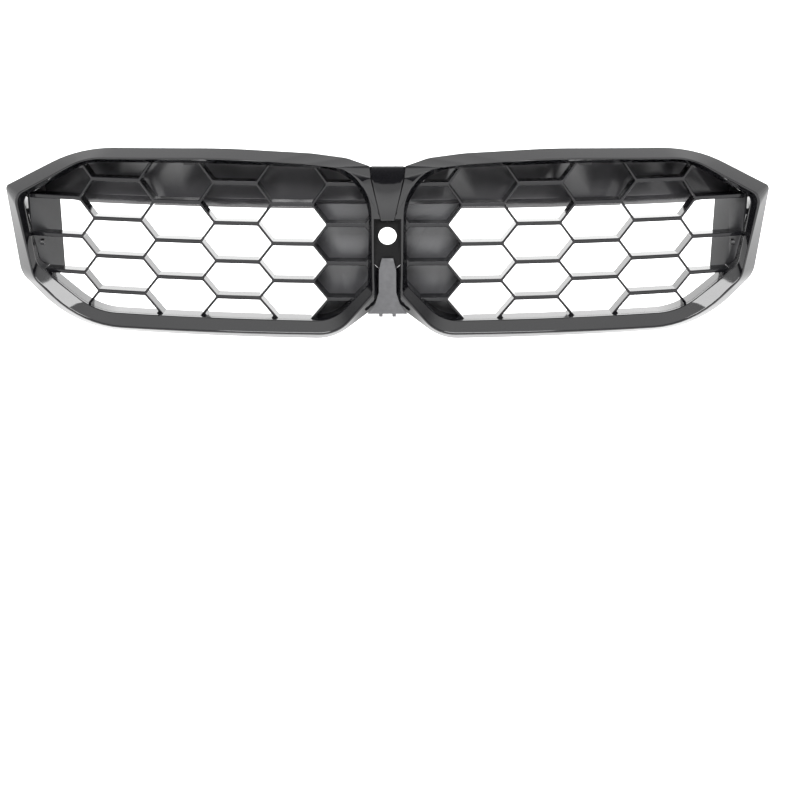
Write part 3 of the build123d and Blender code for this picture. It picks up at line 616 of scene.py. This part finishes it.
def even_hole(outline):
    """Hole outline with near points dropped, corners rounded and long sides split."""
    pairs = [(point, outline[i - 1]) for i, point in enumerate(outline)]
    kept = [p for p, q in pairs if hypot(p[0] - q[0], p[1] - q[1]) > SHORT_SIDE]
    if len(kept) < 3:
        return []
    area = sum(x0 * z1 - x1 * z0 for (x0, z0), (x1, z1) in zip(kept, kept[1:] + kept[:1])) / 2
    if abs(area) < SMALLEST_HOLE:
        return []
    if area > 0:
        kept.reverse()
    corners = []
    for i, (x, z) in enumerate(kept):
        before, after = kept[i - 1], kept[(i + 1) % len(kept)]
        back = Vector((before[0] - x, before[1] - z))
        ahead = Vector((after[0] - x, after[1] - z))
        if back.angle(ahead) > radians(STRAIGHT_ANGLE):
            corners.append((x, z))
            continue
        around = [Vector((*place, 0)) for place in (before, (x, z), after)]
        corners += [(point.x, point.y) for point in rounded_corner(*around, HOLE_ROUND, 3)]
    split = []
    for i, (x, z) in enumerate(corners):
        xa, za = corners[(i + 1) % len(corners)]
        parts = max(1, ceil(hypot(xa - x, za - z) / SEGMENT))
        split += [(x + (xa - x) * k / parts, z + (za - z) * k / parts) for k in range(parts)]
    return split


def lip_outline(grow=0.0):
    """Outline of the opening, grown outward, clockwise in x and z."""
    outline = [(x, z) for x, z, _ in rounded(LIP, 6, 5)]
    return grown(outline, grow)


def inside(x, z, loop):
    """Whether a place lies inside a closed loop of (x, z) corners."""
    crossings = 0
    for (x0, z0), (x1, z1) in zip(loop, loop[1:] + loop[:1]):
        if (z0 > z) != (z1 > z) and x < x0 + (x1 - x0) * (z - z0) / (z1 - z0):
            crossings += 1
    return crossings % 2 == 1


def fill_between(shape, border, holes):
    """Triangles over the strip between a border loop and the holes inside it."""
    verts, edges, outlines = [], [], []
    for loop in [border] + holes:
        first = len(verts)
        verts += loop
        edges += [(first + i, first + (i + 1) % len(loop)) for i in range(len(loop))]
        outlines.append([(vert.co.x, vert.co.z) for vert in loop])
    places = [Vector((vert.co.x, vert.co.z)) for vert in verts]
    result = delaunay_2d_cdt(places, edges, [], 0, 0.0001)
    for corners in result[2]:
        sources = [result[3][k] for k in corners]
        if not all(sources):
            continue
        made = [verts[source[0]] for source in sources]
        x = sum(vert.co.x for vert in made) / 3
        z = sum(vert.co.z for vert in made) / 3
        if inside(x, z, outlines[0]) and not any(inside(x, z, hole) for hole in outlines[1:]):
            shape.faces.new(made)


def lattice(side):
    """Ribs with rounded front edges, made as one web round the cells."""
    web = bmesh.new()
    outline = lip_outline(RIB_BURY)
    front_loops, back_loops = [], []
    rings = [(0.0, RIB_BACK), (0.0, RIB_FRONT + RIB_ROUND)]
    for step in range(1, 4):
        turn = radians(30 * step)
        rings.append((RIB_ROUND * (1 - cos(turn)), RIB_FRONT + RIB_ROUND * (1 - sin(turn))))

    def ring(points, setback):
        return [web.verts.new((SIDES[side] * x, nose(x, z, setback), z)) for x, z in points]

    for corners, insets in cells():
        hole = even_hole(clipped(outline, corners, insets))
        if not hole:
            continue
        loops = [ring(grown(hole, grow), setback) for grow, setback in rings]
        for first, last in zip(loops, loops[1:]):
            for i in range(len(first)):
                web.faces.new((first[i - 1], first[i], last[i], last[i - 1]))
        front_loops.append(loops[-1])
        back_loops.append(loops[0])
    border = even_hole(lip_outline(COLLAR_WALL - SEAM))
    front, back = ring(border, RIB_FRONT), ring(border, RIB_BACK)
    for i in range(len(front)):
        web.faces.new((front[i - 1], front[i], back[i], back[i - 1]))
    fill_between(web, front, front_loops)
    fill_between(web, back, back_loops)
    return add_bmesh(f"honeycomb_{side}", web, RIBS)


def add_bmesh(name, shape, finish, body="grille"):
    """Make one piece from a finished bmesh in millimetres."""
    shape.verts.index_update()
    points = [vert.co.copy() for vert in shape.verts]
    faces = [tuple(vert.index for vert in face.verts) for face in shape.faces]
    shape.free()
    return add_piece(name, points, faces, finish, body)


def collar(side):
    """Wall round the honeycomb, deeper along the top as a hood."""
    points = []
    inner = lip_outline()
    outer = lip_outline(COLLAR_WALL)
    for (xi, zi), (xo, zo) in zip(inner, outer):
        back = HOOD_BACK if zi > HOOD_LOW else RIB_BACK
        front = RETURN_SETBACK + SEAM
        corners = [
            Vector((xi, nose(xi, zi, front), zi)),
            Vector((xo, nose(xo, zo, front), zo)),
            Vector((xo, nose(xo, zo, back), zo)),
            Vector((xi, nose(xi, zi, back), zi)),
        ]
        for k, corner in enumerate(corners):
            points += rounded_corner(corners[k - 1], corner, corners[(k + 1) % 4], COLLAR_ROUND, 2)
    points = [(SIDES[side] * p.x, p.y, p.z) for p in points]
    return add_piece(f"collar_{side}", points, ring_faces(len(inner), 12), RIBS)


for side_name in SIDES:
    web = lattice(side_name)
    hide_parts(f"honeycomb_insert_{side_name}")
    collar(side_name)


# ---------------------------------------------------------------- lugs, pegs and tongue roots behind

EAR_FRONT = 17.5
EAR_BACK = 20.0
BOSS_RADIUS = 3.2
PAD_OFFSET = 5.4
PAD_LENGTH = 8.0
PAD_CLEARANCE = 0.6
EDGE = 0.3
# Insert screws: x, z, setback of the boss's root in the wall, and the run of the ear
INSERT_SCREWS = [
    (120.0, BOTTOM + 12.6, 8.8, 0.0, 4.0),
    (HALF_WIDTH - 130.0, BOTTOM + 12.6, 8.8, 0.0, 4.0),
    (HALF_WIDTH - 17.0, 0.0, 11.5, -4.2, 0.0),
    (120.0, TOP - 11.0, 7.0, 0.0, -2.4),
    (HALF_WIDTH - 130.0, TOP - 11.0, 7.0, 0.0, -2.6),
]
BRIDGE_SCREW = (24.0, TOP - 24.7, 12.5)
PEGS = [(150.0, BOTTOM + 11.0), (HALF_WIDTH - 110.0, BOTTOM + 11.0)]
PEG_SHOULDER = 4.0
PEG_RADIUS = 2.5
PEG_LENGTH = 20.0
PEG_ROOT = 9.2
PEG_TIP_LENGTH = 1.0
PEG_TIP_TAPER = 0.8
RAIL_EARS = [112.0, 200.0, HALF_WIDTH - 111.5]
RAIL_LOW = TOP - 12.9
RAIL_SETBACK = 36.0
RAIL_FOOT_LOW = TOP - 20.0
RAIL_FOOT_GAP = 0.05
RAIL_FOOT_HALF = (6.0, 4.8)
EAR_GAP = 0.05


def turned(name, x, z, profile, steps=24):
    """Round stub along Y, from a profile of radius and setback."""
    points = []
    for radius, setback in profile:
        for step in range(steps):
            turn = 2 * pi * step / steps
            points.append((x + radius * cos(turn), nose(x, z, setback), z + radius * sin(turn)))
    faces = ring_faces(len(profile), steps, closed=False)
    faces += [tuple(range(steps)), tuple(range(len(points) - steps, len(points)))]
    return add_piece(name, points, faces, RIBS)


def boss(name, x, z, root, end):
    """Stub with a small rounding at its free end."""
    profile = [(BOSS_RADIUS, root), (BOSS_RADIUS, end - EDGE), (BOSS_RADIUS - EDGE, end)]
    return turned(name, x, z, profile)


def peg(name, x, z):
    """Locating peg with a shoulder and a chamfered tip."""
    tip = EAR_FRONT + PEG_LENGTH
    profile = [(PEG_SHOULDER, PEG_ROOT), (PEG_SHOULDER, EAR_FRONT - EDGE)]
    profile += [(PEG_SHOULDER - EDGE, EAR_FRONT), (PEG_RADIUS, EAR_FRONT)]
    profile += [(PEG_RADIUS, tip - PEG_TIP_LENGTH), (PEG_RADIUS - PEG_TIP_TAPER, tip)]
    return turned(name, x, z, profile)


def ear(name, x, z, run_x, run_z):
    """Rounded tab of the insert that one of its screws goes through."""
    heading = atan2(run_z, run_x)
    outline = []
    for middle_x, middle_z, start in ((x, z, pi / 2), (x + run_x, z + run_z, -pi / 2)):
        for step in range(9):
            turn = heading + start + pi * step / 8
            outline.append((middle_x + BOSS_RADIUS * cos(turn), middle_z + BOSS_RADIUS * sin(turn)))
    rings = [(EAR_FRONT + EAR_GAP, 0.0), (EAR_BACK - EDGE, 0.0), (EAR_BACK - EAR_GAP, -EDGE)]
    points = []
    for setback, grow in rings:
        points += [(px, nose(x, z, setback), pz) for px, pz in grown(outline, grow)]
    count = len(outline)
    faces = ring_faces(len(rings), count, closed=False)
    faces += [tuple(range(count)), tuple(range(len(points) - count, len(points)))]
    return add_piece(name, points, faces, RIBS)


def rail_foot(name, side, x):
    """Post from the hood up to the top rail."""
    middle = nose(x, RAIL_LOW, RAIL_SETBACK)
    points = []
    head = RAIL_LOW - RAIL_FOOT_GAP
    for inset, z in ((0.0, RAIL_FOOT_LOW), (0.0, head - EDGE), (EDGE, head)):
        wide, deep = (half - inset for half in RAIL_FOOT_HALF)
        for px, py in ((-wide, -deep), (wide, -deep), (wide, deep), (-wide, deep)):
            points.append((side * x + px, middle + py, z))
    faces = ring_faces(3, 4, closed=False) + [(0, 1, 2, 3), (8, 9, 10, 11)]
    return add_piece(name, points, faces, RIBS)


def rear_details(side):
    """Everything moulded on the back of one surround and its insert."""
    way = SIDES[side]
    pads = [(LIP[0][0] - PAD_OFFSET, 5.0), (LIP[-1][0] - SEAM - PAD_OFFSET, -38.0)]
    made = []
    for n, (x, z, root, run_x, run_z) in enumerate(INSERT_SCREWS, 1):
        made.append(boss(f"boss_{n}_{side}", way * x, z, root, EAR_FRONT))
        made.append(ear(f"ear_{n}_{side}", way * x, z, way * run_x, run_z))
    x, z, root = BRIDGE_SCREW
    made.append(boss(f"bridge_boss_{side}", way * x, z, root, EAR_FRONT))
    made += [peg(f"peg_{n}_{side}", way * x, z) for n, (x, z) in enumerate(PEGS, 1)]
    made += [rail_foot(f"rail_foot_{n}_{side}", way, x) for n, x in enumerate(RAIL_EARS, 1)]
    for n, (x, z) in enumerate(pads, 1):
        end = RIB_BACK - PAD_CLEARANCE
        made.append(boss(f"pad_{n}_{side}", way * x, z, end - PAD_LENGTH, end))


SNAP_NECK_HALF = 6.5
SNAP_NECK_WALL = 0.7
SNAP_NECK_FRONT = -1.4
SNAP_NECK_BACK = 1.9
SNAP_LOW_Z = BOTTOM + SKIRT_INSET + SURROUND_WALL / 2
SNAP_SIDE = (HALF_WIDTH - 9.7, -6.0)
SNAP_SIDE_TILT = 0.7
SNAP_SIDE_GAP = 1.3
# Tongue roots: x, z, setback, half the width as a run in x and z, half the wall likewise
SNAP_ROOTS = [
    (x, SNAP_LOW_Z, SKIRT_SETBACK, (SNAP_NECK_HALF, 0.0), (0.0, SNAP_NECK_WALL))
    for x in (95.0, 200.0, HALF_WIDTH - 90.0)
]
SNAP_ROOTS.append(
    (*SNAP_SIDE, SKIRT_SETBACK + SNAP_SIDE_GAP, (SNAP_SIDE_TILT, SNAP_NECK_HALF), (SNAP_NECK_WALL, 0.0))
)


def snap_necks(side):
    """Thin roots that join each sprung tongue to the rear edge of its surround."""
    way = SIDES[side]
    for n, (x, z, setback, wide, wall) in enumerate(SNAP_ROOTS, 1):
        points = []
        for shift in (SNAP_NECK_FRONT, SNAP_NECK_BACK):
            for a, b in ((-1, -1), (1, -1), (1, 1), (-1, 1)):
                px = x + a * wide[0] + b * wall[0]
                pz = z + a * wide[1] + b * wall[1]
                points.append((way * px, nose(px, pz, setback + shift), pz))
        faces = ring_faces(2, 4, closed=False)
        neck = add_piece(f"snap_neck_{n}_{side}", points, faces, GLOSS, body=None)
        for shift in (0.0, SNAP_NECK_BACK):
            Vector((way * x, nose(x, z, setback + shift), z)) * MM
        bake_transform(neck)


for side_name in SIDES:
    rear_details(side_name)
    snap_necks(side_name)


# ---------------------------------------------------------------- finishes on the design's own pieces


NODE_FINISHES = {
    "honeycomb_insert": RIBS,
    "upper_blank": SHEET,
    "inner_blank": SATIN,
    "outer_duct": DUCT,
    "top_rail": MATTE,
    "foam_seal": FOAM,
    "snap_tongue": GLOSS,
    "screws": STEEL,
    "centre_bridge": POCKET,
    "lower_tongue": TRIM,
    "camera_bracket": MATTE,
}


EDGE_WIDTH = 0.4
EDGE_ANGLE = 40
FLAT_ANGLE = 1.0
WELD_REACH = 0.001


def soften(piece, width=EDGE_WIDTH):
    """Small rounding on the sharp edges of a piece."""
    weld = piece.modifiers.new("weld", "WELD")
    weld.merge_threshold = WELD_REACH * MM
    flat = piece.modifiers.new("flat faces", "DECIMATE")
    flat.decimate_type = "DISSOLVE"
    flat.angle_limit = radians(FLAT_ANGLE)
    bevel = piece.modifiers.new("edges", "BEVEL")
    bevel.width = width * MM
    bevel.segments = 2
    bevel.angle_limit = radians(EDGE_ANGLE)
    bevel.harden_normals = True


for node_name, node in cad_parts.items():
    for key, finish in NODE_FINISHES.items():
        if key in node_name:
            node.data.materials.clear()
            node.data.materials.append(finish)
    soften(node)


# ---------------------------------------------------------------- camera and light

AIM = Vector((0.0, -POCKET_DEPTH, 1.4))
CAMERA_DISTANCE = 1400.0
CAMERA_ELEVATION = 10.0
PICTURE_SIDE = 800
FOCAL_SHARE = 1414 / PICTURE_SIDE
SENSOR = 36.0


def set_camera():
    """Camera in front of the grille and a little above it."""
    camera = bpy.data.cameras.new("camera")
    camera.sensor_width = SENSOR
    camera.lens = SENSOR * FOCAL_SHARE
    camera.shift_x = 12.5 / PICTURE_SIDE
    camera.shift_y = -163.75 / PICTURE_SIDE
    holder = bpy.data.objects.new("camera", camera)
    tilt = radians(CAMERA_ELEVATION)
    away = Vector((0, -cos(tilt), sin(tilt))) * CAMERA_DISTANCE
    holder.location = (AIM + away) * MM
    holder.rotation_euler = (pi / 2 - tilt, 0, 0)
    bpy.context.scene.collection.objects.link(holder)
    bpy.context.scene.camera = holder


def add_softbox(name, place, target, width, height, watts):
    """Rectangular area light in metres, turned to face a target."""
    light = bpy.data.lights.new(name, "AREA")
    light.shape = "RECTANGLE"
    light.size, light.size_y = width, height
    light.energy = watts
    holder = bpy.data.objects.new(name, light)
    holder.location = place
    holder.rotation_euler = (Vector(target) - Vector(place)).to_track_quat("-Z", "Y").to_euler()
    bpy.context.scene.collection.objects.link(holder)


FLOOR_DROP = 90.0
FLOOR_REACH = 90000.0


def add_floor():
    """Wide pale floor just under the grille."""
    ways = ((-1, -1), (1, -1), (1, 1), (-1, 1))
    corners = [(a * FLOOR_REACH, b * FLOOR_REACH, BOTTOM - FLOOR_DROP) for a, b in ways]
    white = Finish("pale_floor", {"Roughness": 0.7})
    patches = white.noise(900.0)
    white.blend_colours(patches, (0.83, 0.83, 0.83), (0.86, 0.86, 0.86))
    floor = add_piece("floor", corners, [(0, 1, 2, 3)], white.material, body=None)


FRONT_LIGHT = 0.03
REAR_LIGHT = 2.6
TOP_LIGHT = 3.4
REAR_FADE = (-0.15, 0.35)
TOP_FADE = (0.1, 0.85)
KEY_PLACE = (0.0, -1.7, 1.2)
KEY_SIZE = (2.2, 0.6)
KEY_WATTS = 80.0


def set_world():
    """Pale studio walls behind and beside the grille and a dim wall in front."""
    world = bpy.data.worlds.new("studio")
    world.use_nodes = True
    bpy.context.scene.world = world
    tree = world.node_tree
    tree.nodes["Background"].inputs["Color"].default_value = (1, 1, 1, 1)
    place = tree.nodes.new("ShaderNodeTexCoord")
    split = tree.nodes.new("ShaderNodeSeparateXYZ")
    tree.links.new(place.outputs["Generated"], split.inputs[0])
    total = tree.nodes.new("ShaderNodeMath")
    total.operation = "MAXIMUM"
    tree.links.new(total.outputs[0], tree.nodes["Background"].inputs["Strength"])
    ranges = {
        "Y": (*REAR_FADE, FRONT_LIGHT, REAR_LIGHT),
        "Z": (*TOP_FADE, FRONT_LIGHT, TOP_LIGHT),
    }
    for slot, (axis, levels) in enumerate(ranges.items()):
        fade = tree.nodes.new("ShaderNodeMapRange")
        fade.interpolation_type = "SMOOTHSTEP"
        tree.links.new(split.outputs[axis], fade.inputs["Value"])
        for socket, level in zip(("From Min", "From Max", "To Min", "To Max"), levels):
            fade.inputs[socket].default_value = level
        tree.links.new(fade.outputs[0], total.inputs[slot])


set_camera()
add_floor()
set_world()
add_softbox("key", KEY_PLACE, (0, 0, 0), *KEY_SIZE, KEY_WATTS)
bpy.context.scene.view_settings.view_transform = "Standard"
